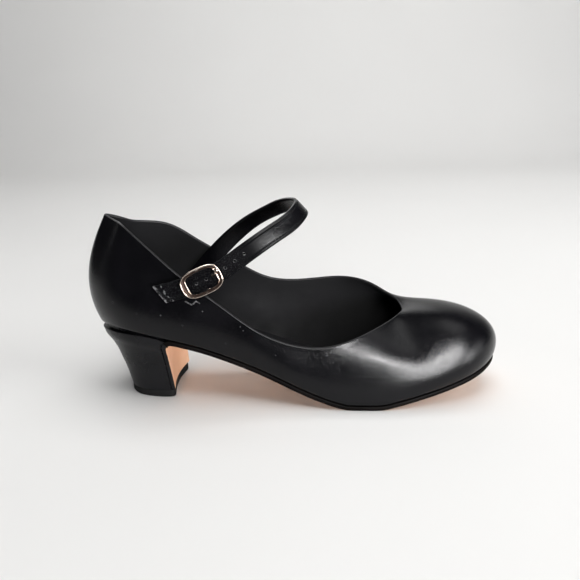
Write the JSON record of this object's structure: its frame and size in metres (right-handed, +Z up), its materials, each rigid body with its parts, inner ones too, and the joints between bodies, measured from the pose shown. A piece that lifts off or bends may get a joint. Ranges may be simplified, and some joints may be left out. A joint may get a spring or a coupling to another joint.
{
  "type": "dance shoe",
  "caption": "Right character dance shoe: hollow black upper with an open throat, a buckled instep strap, a tan sole sheet that turns down the heel breast, and a flared covered heel.",
  "frame": {"origin": "middle of the shoe's bounding box, on the floor plane under the top lift and the forefoot", "axes": "+X toward the toe, -Y toward the outer side with the buckle, +Z up"},
  "size_m": [0.2393, 0.0711, 0.113],
  "materials": {
    "black_leather": "smooth semi-matte black",
    "dark_lining": "matte dark lining",
    "tan_sole": "matte tan sole leather",
    "black_heel": "black covered heel, semi-gloss",
    "black_rubber": "matte",
    "pale_metal": "polished pale gold plate"
  },
  "bodies": {
    "root": {"upper": "black_leather", "insole": "dark_lining", "outsole": "tan_sole", "heel": "black_heel", "top_lift": "black_rubber", "strap": "black_leather", "buckle_frame": "pale_metal", "buckle_prong": "pale_metal", "buckle_tab": "black_leather"}
  },
  "joints": []
}
